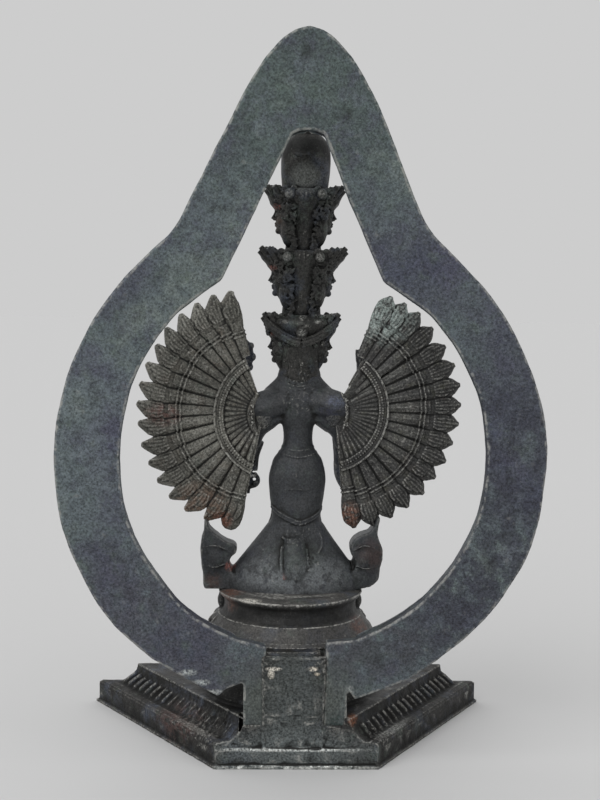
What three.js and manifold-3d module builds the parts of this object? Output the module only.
// Eleven-headed, many-armed avalokiteshvara figure of patinated cast bronze, standing on a double
// lotus and a stepped plinth, inside a flat teardrop mandorla whose two tenons drop into the plinth.
// Millimetres, +Z up. The figure faces -Y. The origin lies under the middle of the plinth.
import * as THREE from 'three';
import { mergeVertices } from 'three/addons/utils/BufferGeometryUtils.js';
import Module from 'manifold-3d';

const wasm = await Module();
wasm.setup();

// Plinth: a trapezoid in plan, wide in front
const SLAB_FRONT_HALF = 148;
const SLAB_REAR_HALF = 56;
const SLAB_HALF_DEPTH = 75.6;
const SLAB_TOP = 13.7;
const FOOT_LIP_HEIGHT = 2.4;
const FOOT_LIP_REACH = 1.4;
const LEDGE_WIDTH = 8;
const PLATFORM_INSET = 16;
const PLATFORM_TOP = 35.5;
const PLATFORM_REAR_INSET = 0.8;
const TONGUE_PITCH = 11;
const TONGUE_RELIEF = 1.6;
const TONGUE_EDGES = [0, -0.55, 0.55];
const TONGUE_HEIGHT = 13;
const DRUM_RADIUS = 60;
const PIER_TOP = 78.6;
const PIER_FRONT = 40;

// Mandorla: a flat band in the plane behind the figure, on two tenons with the plinth's pier between them
const FRAME_REAR = 73.5;
const FRAME_THICKNESS = 9;
const FRAME_TOP = 500;
const RIM_WIDTH = 4;
const RIM_HEIGHT = 1.3;
const FEET_X = 4;
const LEG_INNER = 19.5;
const TENON_OUTER = 35.6;
const TENON_FOOT = 20;
const FIT_GAP = 0.35;

// Lotus pedestal: round, its axis a little off the middle as cast
const AXIS_Y = 2;
const LOTUS_X = 4;
const LOTUS_FOOT = 79.1;
const LOTUS_TOP = 109.4;
const PETALS_ALL_ROUND = 18;

// Figure
const BASE_FOOT = LOTUS_TOP + 0.35;
const FIGURE_X = 2;
const LEAN = -0.0155;

// Fans of arms, one on each side: the angles of the lowest and the highest hand, level being 0
const FAN_ARMS = 17;
const FAN_REACH = 90.5;
const FAN_VALLEY = 83.5;
const FAN_Y = 11;
const FANS = [
  { side: 1, hubX: 24.7, hubZ: 239.5, lowest: -74, highest: 71 },
  { side: -1, hubX: -24.7, hubZ: 241, lowest: -78, highest: 65 },
];
const BAND_RADIUS = 48;
const BAND_INBOARD = 16.4;

const WELD = 0.002;

const bronze = {
  plinth: { color: 0x3b3f3d, roughness: 0.62, metalness: 0.75 },
  lotus: { color: 0x35383a, roughness: 0.6, metalness: 0.75 },
  figure: { color: 0x303335, roughness: 0.55, metalness: 0.75 },
  frame: { color: 0x38404a, roughness: 0.65, metalness: 0.7 },
};

// A closed solid from any closed geometry, its shared vertices merged
function toSolid(geometry) {
  const bare = geometry.index ? geometry.clone() : geometry;
  bare.deleteAttribute('normal');
  bare.deleteAttribute('uv');
  const merged = mergeVertices(bare, 1e-4);
  return new wasm.Manifold(new wasm.Mesh({
    numProp: 3,
    vertProperties: new Float32Array(merged.attributes.position.array),
    triVerts: new Uint32Array(merged.index.array),
  }));
}

function joinAll(solids) {
  return solids.reduce((whole, solid) => whole.add(solid));
}

// Joins vertices closer than the weld distance and drops the slivers that this closes
function weld(geometry) {
  const merged = mergeVertices(geometry, WELD);
  const index = merged.index.array;
  const kept = new Map();
  for (let f = 0; f < index.length; f += 3) {
    const face = [index[f], index[f + 1], index[f + 2]];
    const key = [...face].sort((a, b) => a - b).join();
    const flat = face[0] === face[1] || face[1] === face[2] || face[2] === face[0];
    if (kept.has(key)) kept.delete(key);
    else if (!flat) kept.set(key, face);
  }
  merged.setIndex([...kept.values()].flat());
  return merged;
}

function toMesh(name, solid, finish) {
  const made = solid.getMesh();
  const cut = new THREE.BufferGeometry();
  cut.setAttribute('position', new THREE.BufferAttribute(made.vertProperties, 3));
  cut.setIndex(new THREE.BufferAttribute(made.triVerts, 1));
  const geometry = weld(cut);
  geometry.computeVertexNormals();
  const mesh = new THREE.Mesh(geometry, new THREE.MeshStandardMaterial(finish));
  mesh.name = name;
  return mesh;
}

// A solid of the given points and faces, turned right side out
function closedSolid(points, faces) {
  let volume = 0;
  for (let f = 0; f < faces.length; f += 3) {
    const [a, b, c] = [points[faces[f]], points[faces[f + 1]], points[faces[f + 2]]];
    volume += a.dot(new THREE.Vector3().crossVectors(b, c));
  }
  if (volume < 0) faces.reverse();
  const geometry = new THREE.BufferGeometry();
  const places = points.flatMap((p) => [p.x, p.y, p.z]);
  geometry.setAttribute('position', new THREE.Float32BufferAttribute(places, 3));
  geometry.setIndex(faces);
  return toSolid(geometry);
}

// A closed skin over a row of rings that all have the same number of points
function loft(rings) {
  const count = rings[0].length;
  const points = rings.flat();
  const centre = (ring) => ring.reduce((sum, p) => sum.add(p), new THREE.Vector3()).divideScalar(count);
  const firstCap = points.push(centre(rings[0])) - 1;
  const lastCap = points.push(centre(rings.at(-1))) - 1;
  const faces = [];
  const lastRing = (rings.length - 1) * count;
  for (let i = 0; i < count; i += 1) {
    const next = (i + 1) % count;
    faces.push(firstCap, next, i, lastCap, lastRing + i, lastRing + next);
    for (let row = 0; row < rings.length - 1; row += 1) {
      const low = row * count;
      const high = low + count;
      faces.push(low + i, low + next, high + next, low + i, high + next, high + i);
    }
  }
  return closedSolid(points, faces);
}

// A closed plate between two grids of points, both split along the same diagonals
function plateBetween(rear, front) {
  const [rows, columns] = [rear.length, rear[0].length];
  const points = [...rear.flat(), ...front.flat()];
  const at = (skin, row, column) => (skin * rows + row) * columns + column;
  const faces = [];
  for (let r = 0; r < rows - 1; r += 1) {
    for (let c = 0; c < columns - 1; c += 1) {
      faces.push(at(0, r, c), at(0, r, c + 1), at(0, r + 1, c + 1));
      faces.push(at(0, r, c), at(0, r + 1, c + 1), at(0, r + 1, c));
      faces.push(at(1, r, c), at(1, r + 1, c + 1), at(1, r, c + 1));
      faces.push(at(1, r, c), at(1, r + 1, c), at(1, r + 1, c + 1));
    }
  }
  const wall = ([a, b]) => faces.push(at(0, ...a), at(1, ...a), at(1, ...b), at(0, ...a), at(1, ...b), at(0, ...b));
  for (let c = 0; c < columns - 1; c += 1) {
    wall([[0, c], [0, c + 1]]);
    wall([[rows - 1, c + 1], [rows - 1, c]]);
  }
  for (let r = 0; r < rows - 1; r += 1) {
    wall([[r + 1, 0], [r, 0]]);
    wall([[r, columns - 1], [r + 1, columns - 1]]);
  }
  return closedSolid(points, faces);
}

// A ring about a centre, spread over two axes
function ringAt(centre, across, halfAcross, deep, halfDeep, sides) {
  return Array.from({ length: sides }, (_, i) => {
    const turn = (2 * Math.PI * (i + 0.5)) / sides;
    return centre.clone()
      .addScaledVector(across, halfAcross * Math.cos(turn))
      .addScaledVector(deep, halfDeep * Math.sin(turn));
  });
}

const X = new THREE.Vector3(1, 0, 0);
const Y = new THREE.Vector3(0, 1, 0);

// Level rings up a body: each station is [height, half width, half depth, forward]
function stackUp(stations, sides, x = 0, y = 0) {
  return loft(stations.map(([z, wide, deep, forward = 0]) => (
    ringAt(new THREE.Vector3(x, y - forward, z), X, wide, Y, deep, sides))));
}

// A round limb through points, with a radius at each
function limb(path, radii, sides = 7) {
  const points = path.map((p) => new THREE.Vector3(...p));
  let across = null;
  const rings = points.map((point, i) => {
    const ahead = points[Math.min(i + 1, points.length - 1)];
    const behind = points[Math.max(i - 1, 0)];
    const along = new THREE.Vector3().subVectors(ahead, behind).normalize();
    const start = across ?? (Math.abs(along.y) < 0.9 ? Y : X);
    across = start.clone().addScaledVector(along, -start.dot(along)).normalize();
    const deep = new THREE.Vector3().crossVectors(along, across);
    return ringAt(point, across, radii[i], deep, radii[i], sides);
  });
  return loft(rings);
}

// An egg of few faces
function egg(x, y, z, wide, deep, high, around = 10, rows = 6) {
  const geometry = new THREE.SphereGeometry(1, around, rows);
  geometry.rotateX(Math.PI / 2);
  geometry.scale(wide, deep, high);
  geometry.translate(x, y, z);
  return toSolid(geometry);
}

function block(xLow, xHigh, yLow, yHigh, zLow, zHigh) {
  const geometry = new THREE.BoxGeometry(xHigh - xLow, yHigh - yLow, zHigh - zLow);
  geometry.translate((xLow + xHigh) / 2, (yLow + yHigh) / 2, (zLow + zHigh) / 2);
  return toSolid(geometry);
}

function turned(profile, segments, x, y) {
  const geometry = new THREE.LatheGeometry(profile.map(([r, z]) => new THREE.Vector2(r, z)), segments);
  geometry.rotateX(Math.PI / 2);
  geometry.translate(x, y, 0);
  return toSolid(geometry);
}

// Plinth
const sideRun = SLAB_FRONT_HALF - SLAB_REAR_HALF;
const sideLength = Math.hypot(sideRun, 2 * SLAB_HALF_DEPTH);
const sideNormal = new THREE.Vector2(2 * SLAB_HALF_DEPTH / sideLength, sideRun / sideLength);

// Half width of the plinth's plan at a depth y, with its slanted sides moved in by an inset
function planHalf(y, inset) {
  const middle = (SLAB_FRONT_HALF + SLAB_REAR_HALF) / 2;
  return middle - (y * sideRun) / (2 * SLAB_HALF_DEPTH) - inset / sideNormal.x;
}

function plinthRing(inset, rearInset, z) {
  const front = -SLAB_HALF_DEPTH + inset;
  const rear = SLAB_HALF_DEPTH - rearInset;
  return [[-1, front], [1, front], [1, rear], [-1, rear]].map(([side, y]) => (
    new THREE.Vector3(side * planHalf(y, inset), y, z)));
}

// A row of upright tongues along one side of the moulding, from one corner to the other
function tongueRow(from, to) {
  const start = new THREE.Vector3(...from);
  const run = new THREE.Vector3(...to).sub(start);
  const count = Math.floor(run.length() / TONGUE_PITCH);
  const along = run.clone().normalize();
  const outward = new THREE.Vector3(along.y, -along.x, 0);
  const skin = (reach, relief) => [[0, 2.2], [1, -2]].map(([rise, out]) => (
    Array.from({ length: 3 * count + 1 }, (_, i) => {
      const place = (i + TONGUE_EDGES[i % 3]) / (3 * count);
      const proud = reach + out + (i % 3 === 0 ? 0 : relief);
      const point = start.clone().addScaledVector(run, place).addScaledVector(outward, proud);
      return point.setZ(SLAB_TOP + 0.6 + rise * TONGUE_HEIGHT);
    })));
  return plateBetween(skin(2, TONGUE_RELIEF), skin(-4, 0));
}

function plinthSolid() {
  const lip = FOOT_LIP_REACH;
  const stepped = loft([
    plinthRing(-lip, -lip, 0),
    plinthRing(-lip, -lip, FOOT_LIP_HEIGHT - 0.6),
    plinthRing(0, 0, FOOT_LIP_HEIGHT),
    plinthRing(0, 0, SLAB_TOP - 0.8),
    plinthRing(0.8, 0.6, SLAB_TOP),
    plinthRing(LEDGE_WIDTH, PLATFORM_REAR_INSET, SLAB_TOP + 0.3),
    plinthRing(LEDGE_WIDTH + 1.6, PLATFORM_REAR_INSET, SLAB_TOP + 1.4),
    plinthRing(PLATFORM_INSET - 3.4, PLATFORM_REAR_INSET, SLAB_TOP + 7),
    plinthRing(PLATFORM_INSET - 0.6, PLATFORM_REAR_INSET, PLATFORM_TOP - 7),
    plinthRing(PLATFORM_INSET, PLATFORM_REAR_INSET, PLATFORM_TOP - 0.8),
    plinthRing(PLATFORM_INSET + 0.8, PLATFORM_REAR_INSET + 0.6, PLATFORM_TOP),
  ]);
  const footLine = LEDGE_WIDTH + 3.2;
  const frontY = -SLAB_HALF_DEPTH + footLine;
  const rearY = SLAB_HALF_DEPTH - 8;
  const frontX = planHalf(frontY, footLine);
  const rearX = planHalf(rearY, footLine);
  const tongues = [
    tongueRow([-frontX, frontY, 0], [frontX, frontY, 0]),
    tongueRow([frontX, frontY, 0], [rearX, rearY, 0]),
    tongueRow([-rearX, rearY, 0], [-frontX, frontY, 0]),
  ];
  const r = DRUM_RADIUS;
  const floorZ = PLATFORM_TOP - 1;
  const drum = turned([
    [0, floorZ], [r, floorZ], [r, floorZ + 5], [r - 9, floorZ + 13], [r - 10.5, floorZ + 21],
    [r - 3, floorZ + 33], [r - 1, PIER_TOP - 4], [r - 4, PIER_TOP], [0, PIER_TOP],
  ], 20, LOTUS_X, AXIS_Y);
  const behindFrame = block(-100, 100, FRAME_REAR - FRAME_THICKNESS - RIM_HEIGHT - 0.4, 100, 0, 120);
  const half = LEG_INNER - FIT_GAP;
  const bulge = [[-1, 74.4], [-0.55, 75.3], [0, 75.6], [0.55, 75.3], [1, 74.4]];
  const pierPlan = [...bulge.map(([side, y]) => [side * half, y]), [half, PIER_FRONT], [-half, PIER_FRONT]];
  const pier = loft([floorZ - 10, PIER_TOP - 1, PIER_TOP].map((z) => pierPlan.map(([x, y]) => {
    const worn = z === PIER_TOP ? 0.97 : 1;
    return new THREE.Vector3(FEET_X + x * worn, y - (z === PIER_TOP ? 0.8 : 0), z);
  })));
  const pocketFront = FRAME_REAR - FRAME_THICKNESS - RIM_HEIGHT - FIT_GAP;
  const pockets = [-1, 1].flatMap((side) => {
    const edges = [side * half, side * (TENON_OUTER + FIT_GAP)];
    const [low, high] = [FEET_X + Math.min(...edges), FEET_X + Math.max(...edges)];
    return [
      block(low, high, pocketFront, FRAME_REAR + FIT_GAP, TENON_FOOT - FIT_GAP, 90),
      block(low, high, pocketFront, 90, 30.6, 90),
    ];
  });
  const pierRoom = drum.subtract(behindFrame).add(pier);
  return pockets.reduce((solid, pocket) => solid.subtract(pocket), joinAll([stepped, ...tongues]).add(pierRoom));
}

// Mandorla: [half width, height] up its outer and its inner edge
const outerEdge = [
  [96.5, 75.8], [127, 103.6], [145.1, 131.3], [157.6, 159], [164.4, 192], [165.2, 226], [160.4, 254.3],
  [147, 290.5], [129, 320.8], [106, 347.6], [85.5, 368], [75, 387], [57, 426], [38, 464.4], [24, 484.5],
  [10.8, 496.4], [0, FRAME_TOP],
];
const innerEdge = [
  [38.6, 89.7], [63.5, 104], [94, 131.3], [114, 165], [121.7, 200], [120.8, 238],
  [111.7, 272], [92.7, 304], [66.5, 325], [53.2, 334.7],
];
const innerApex = [[29.6, 386], [10.8, 430], [6, 432.2], [0, 432.6]];

// How far the band's middle wanders sideways up its height, as cast
const wander = [
  [0, 2], [50, 2], [100, 1.4], [140, 0], [250, 0], [280, 1.4], [350, 2.6], [390, 1.8], [440, -0.6], [501, -0.6],
];

const mirrored = (points) => points.map(([x, z]) => [-x, z]).reverse();

// A curve through a few points, as an even row of them
function smooth(points, count) {
  const curve = new THREE.SplineCurve(points.map(([x, z]) => new THREE.Vector2(x, z)));
  return curve.getSpacedPoints(count).map((p) => [Math.max(p.x, 0), p.y]);
}

function wandered([x, z]) {
  const next = Math.max(1, wander.findIndex(([height]) => height >= z));
  const [low, high] = [wander[next - 1], wander[next]];
  return new THREE.Vector2(x + THREE.MathUtils.mapLinear(z, low[0], high[0], low[1], high[1]), z);
}

function plate(outline, yRear, thickness) {
  const shape = new THREE.Shape(outline.map(wandered));
  const geometry = new THREE.ExtrudeGeometry(shape, { depth: thickness, bevelEnabled: false });
  geometry.rotateX(Math.PI / 2);
  geometry.translate(0, yRear, 0);
  return toSolid(geometry);
}

function frameSolid() {
  const outer = smooth(outerEdge, 19);
  const inner = [...smooth(innerEdge, 11), ...innerApex];
  const feet = FEET_X - 2;
  const leftFoot = [
    [feet + LEG_INNER + 1, 85], [feet + LEG_INNER, TENON_FOOT], [feet + TENON_OUTER, TENON_FOOT],
    [feet + TENON_OUTER, 60], [50, 54.8], [54.8, 50],
  ];
  const rightFoot = [
    [-75, 62], [-38.9, 48], [-34, 55], [feet - TENON_OUTER, 53], [feet - TENON_OUTER, TENON_FOOT],
    [feet - LEG_INNER, TENON_FOOT], [feet - LEG_INNER - 1, 88],
  ];
  const outline = [
    ...leftFoot, ...outer, ...mirrored(outer).slice(1), ...rightFoot,
    ...inner.map(([x, z]) => [-x, z]), ...mirrored(inner).slice(1).map(([x, z]) => [-x, z]),
  ];
  const outerRun = inset(outer, RIM_WIDTH);
  const innerRun = inset(inner, -RIM_WIDTH).slice(1);
  const middle = [
    ...outerRun, ...mirrored(outerRun).slice(1),
    ...innerRun.map(([x, z]) => [-x, z]), ...innerRun.slice(0, -1).reverse(),
  ];
  const front = FRAME_REAR - FRAME_THICKNESS;
  const raised = plate(outline, front + 0.2, RIM_HEIGHT + 0.2);
  const sunk = plate(middle, front, RIM_HEIGHT + 1);
  return plate(outline, FRAME_REAR, FRAME_THICKNESS).add(raised.subtract(sunk));
}

// Moves an open outline towards the band's middle by a distance
function inset(points, distance) {
  return points.map(([x, z], i) => {
    const [ax, az] = points[Math.max(i - 1, 0)];
    const [bx, bz] = points[Math.min(i + 1, points.length - 1)];
    const length = Math.hypot(bx - ax, bz - az);
    const moved = [x - (distance * (bz - az)) / length, z + (distance * (bx - ax)) / length];
    return [Math.max(moved[0], 0), moved[1]];
  });
}

// Lotus pedestal
function petal(turn, radius, foot, tip, wide, proud) {
  const outward = new THREE.Vector3(Math.sin(turn), -Math.cos(turn), 0);
  const along = new THREE.Vector3(Math.cos(turn), Math.sin(turn), 0);
  const rings = [[0, 0.8, 0.7], [0.45, 1, 1.1], [1, 0.12, 0.9]].map(([share, spread, out]) => {
    const centre = new THREE.Vector3(LOTUS_X, AXIS_Y, foot + share * (tip - foot))
      .addScaledVector(outward, radius(foot + share * (tip - foot)) + out * proud - 2);
    return ringAt(centre, along, (spread * wide) / 2, outward, 2.4, 4);
  });
  return loft(rings);
}

function lotusSolid() {
  const profile = [
    [0, LOTUS_FOOT], [60.4, LOTUS_FOOT], [60.2, 81], [53, 89.4], [51.5, 91.4], [53, 95],
    [51.2, 100.6], [52.1, 103.6], [52.1, 108.4], [50.6, LOTUS_TOP], [0, LOTUS_TOP],
  ];
  const body = turned(profile, 26, LOTUS_X, AXIS_Y);
  const pitch = (2 * Math.PI) / PETALS_ALL_ROUND;
  const petals = [];
  for (let i = -4; i <= 4; i += 1) {
    petals.push(petal(i * pitch, () => 52, 92.2, 106, 15, 2.2));
    petals.push(petal(i * pitch, (z) => 52 + (90 - z) * 0.75, 90.4, 80, 17.5, 2.4));
  }
  return joinAll([body, ...petals]);
}

// Figure
const leanAt = (z) => LEAN * (z - BASE_FOOT);

function bodySolids() {
  const base = stackUp([
    [BASE_FOOT, 47, 25], [BASE_FOOT + 8, 48, 25.5], [129, 38.5, 19], [138.7, 31.5, 15.5], [147, 26.5, 13.5],
    [155, 20.5, 12.5], [161, 18.6, 12.2], [176, 18.6, 12.2], [193, 20.3, 13.2], [202, 17.4, 12], [213, 12.4, 10],
    [219, 11.6, 9.4], [228, 13, 10], [238, 18.5, 11.5], [248, 25, 12.4], [255, 25.5, 11.6], [261, 17, 9.8],
    [268, 12.8, 9.4],
  ], 11, 0, AXIS_Y);
  const belt = stackUp([[203, 15, 11], [204, 18, 13], [210.5, 14.8, 12], [211.5, 12, 9]], 10, 0, AXIS_Y);
  const skirtEnd = stackUp([[118, 12.5, 7], [142, 11.5, 6], [144, 9, 4]], 8, -1, AXIS_Y + 14);
  return [base, belt, skirtEnd];
}

// One upright row of three faces under a flaring crown: front, left and right
function headTier(chinZ, neckHalf, faceHalf, crownTip, crownHalf) {
  const y = AXIS_Y;
  const browZ = chinZ + 17;
  const skull = stackUp([
    [chinZ - 16, neckHalf, 10], [chinZ, neckHalf * 0.96, 9.6], [browZ, 15.5, 15.5], [crownTip - 2, 11, 11],
  ], 8, 0, y);
  const looks = [[0, -1], [1, 0], [-1, 0]];
  const faces = looks.map(([fx, fy]) => (
    egg(fx * (faceHalf - 10.8), y + 1 + fy * 9.4 - (fx ? 2.5 : 0), chinZ + 11.5, 10.8, 10.8, 13.4, 7, 5)));
  const noses = looks.map(([fx, fy]) => {
    const tip = [fx * (faceHalf - 0.4), y + 1 + fy * 20.2 - (fx ? 2.5 : 0), chinZ + 9];
    const root = [fx * (faceHalf - 2.4), y + 1 + fy * 18 - (fx ? 2.5 : 0), chinZ + 16.4];
    return limb([root, tip], [1, 2.2], 4);
  });
  const rise = crownTip - browZ;
  const flare = loft([[0, 0], [0.72, 0.8]].map(([up, out]) => {
    const centre = new THREE.Vector3(0, y - 1, browZ + 2 + up * rise);
    return ringAt(centre, X, faceHalf - 0.6 + out * (crownHalf - faceHalf - 3), Y, 17.6 + out * 4, 10);
  }));
  const leafPlaces = [[1, 0.05, 1], [-1, 0.05, 1], [0.62, -0.8, 0.9], [-0.62, -0.8, 0.9], [0, -1.05, 1.12]];
  const leaves = leafPlaces.map(([lx, ly, high]) => {
    const foot = [lx * (faceHalf - 1), y - 2 + ly * 18, browZ + 2];
    const tip = [lx * crownHalf, y - 2 + ly * 23, browZ + 2 + (rise + 1) * high];
    const waist = foot.map((v, i) => v + (tip[i] - v) * 0.5);
    return limb([foot, waist, tip], [3.8, 4.8, 0.6], 3);
  });
  return joinAll([skull, ...faces, ...noses, flare, ...leaves]).translate([leanAt(browZ), 0, 0]);
}

function topHeads() {
  const y = AXIS_Y;
  const large = joinAll([
    stackUp([
      [392, 11, 10], [402, 12.5, 12], [409, 16.2, 15.5], [418, 17, 16.4], [427, 14.4, 14], [433, 9, 9],
    ], 10, 0, y),
    egg(0, y - 7, 411, 12, 11, 13.6, 8, 5),
    limb([[0, y - 16.4, 415], [0, y - 18.6, 408.6]], [1, 2.2], 4),
  ]);
  const small = joinAll([
    stackUp([[429, 6.4, 6.4], [434, 8, 8], [441, 8.4, 8.4], [450, 2.4, 2.4]], 8, 0, y),
    egg(0, y - 3.6, 438.6, 6.4, 6, 7.4, 7, 5),
  ]);
  return large.add(small).translate([leanAt(418), 0, 0]);
}

// Distance from a fan's hub to its curved inner band, whose own centre lies inboard of the hub
function bandAt(angle) {
  return Math.sqrt(BAND_RADIUS ** 2 - (BAND_INBOARD * Math.sin(angle)) ** 2) - BAND_INBOARD * Math.cos(angle);
}

// One fan: a thin dished plate of rounded arms side by side, crossed by a raised band, its rim cut
// into open hands. Each arm has three columns: the valley beside it and the two edges of its back.
function fanSolid({ side, hubX, hubZ, lowest, highest }) {
  const hub = new THREE.Vector3(hubX, AXIS_Y + FAN_Y, hubZ);
  const step = THREE.MathUtils.degToRad(highest - lowest) / (FAN_ARMS - 1);
  const start = THREE.MathUtils.degToRad(lowest);
  const columns = Array.from({ length: 3 * FAN_ARMS + 1 }, (_, i) => {
    const kind = ['valley', 'back', 'tip'][i % 3];
    return { kind, angle: start + (Math.floor(i / 3) + { valley: -0.5, back: -0.24, tip: 0.16 }[kind]) * step };
  });
  const stations = [
    { reach: () => 9, thick: 3, swell: 0.4 },
    { reach: (angle) => bandAt(angle) - 1.8, thick: 2, swell: 1 },
    { reach: (angle) => bandAt(angle), thick: 6.4, swell: 0 },
    { reach: (angle) => bandAt(angle) + 2.4, thick: 2, swell: 2.4 },
    { reach: (angle, kind) => ({ valley: FAN_VALLEY, back: FAN_REACH - 3, tip: FAN_REACH }[kind]), thick: 1.2, swell: 0.8 },
  ];
  const skin = (face) => stations.map(({ reach, thick, swell }) => columns.map(({ angle, kind }) => {
    const r = reach(angle, kind);
    const half = (thick + (kind === 'valley' ? 0 : swell)) / 2;
    const dish = -7 * (r / FAN_REACH) ** 2;
    return hub.clone().add(new THREE.Vector3(side * r * Math.cos(angle), dish + face * half, r * Math.sin(angle)));
  }));
  const shoulder = egg(hubX - side * 1.5, AXIS_Y + FAN_Y - 3, hubZ + 0.5, 13.5, 9, 14.5, 7, 4);
  return plateBetween(skin(1), skin(-1)).add(shoulder);
}

// The eight main arms in front, as four pairs
function armSolids() {
  const y = AXIS_Y;
  const pairs = [
    { elbow: [33, y - 8, 226], wrist: [9, y - 23, 236], hand: [2.2, y - 25, 249], radii: [7.5, 5.6, 4, 2.4] },
    { elbow: [44, y - 9, 232], wrist: [46, y - 15, 262], hand: [45, y - 17, 275], radii: [7, 5, 3.8, 3.2] },
    { elbow: [38, y - 8, 221], wrist: [40, y - 32, 222], hand: [39, y - 42, 226], radii: [7, 5, 3.8, 3.2] },
    { elbow: [34, y - 2, 216], wrist: [37, y - 9, 198], hand: [37, y - 11, 183], radii: [8, 7, 5.4, 4.6] },
  ];
  const limbs = pairs.flatMap(({ elbow, wrist, hand, radii }) => [-1, 1].map((side) => {
    const path = [[20, y, 247], elbow, wrist, hand].map(([px, py, pz]) => [side * px, py, pz]);
    return limb(path, radii, 5);
  }));
  const held = [
    egg(40, y - 17, 281, 6, 4.6, 9.4, 5, 4),
    egg(-48, y - 17, 281, 6, 4.6, 9.4, 5, 4),
    egg(34, y - 11, 188, 7.4, 3.4, 7, 6, 4),
    egg(0, y - 22, 243, 4.4, 6, 9, 5, 4),
  ];
  return [...limbs, ...held];
}

// The swollen upcurled ends at the sides of the base, whose stems carry the fans' lowest hands
function curlSolids() {
  const path = [[38, 118], [53, 119], [57, 127], [56, 137], [59, 146], [62.5, 152], [63.5, 161]];
  const radii = [7.5, 9, 10.6, 11, 7, 2.6, 3.2];
  return FANS.map(({ side }) => limb(path.map(([x, z]) => [side * x, AXIS_Y + 2, z]), radii, 7));
}

function figureSolid() {
  return joinAll([
    ...bodySolids(),
    headTier(273, 14.9, 20.6, 309, 28),
    headTier(320.5, 12.8, 21.6, 355.5, 32),
    headTier(364.5, 11.7, 20.6, 398.5, 28.6),
    topHeads(),
    ...armSolids(),
    ...curlSolids(),
  ]).translate([FIGURE_X, 0, 0]).add(joinAll(FANS.map(fanSolid)));
}

const group = new THREE.Group();
group.add(toMesh('plinth', plinthSolid(), bronze.plinth));
group.add(toMesh('mandorla_frame', frameSolid(), bronze.frame));
group.add(toMesh('lotus_pedestal', lotusSolid(), bronze.lotus));
group.add(toMesh('figure', figureSolid(), bronze.figure));

export default group;
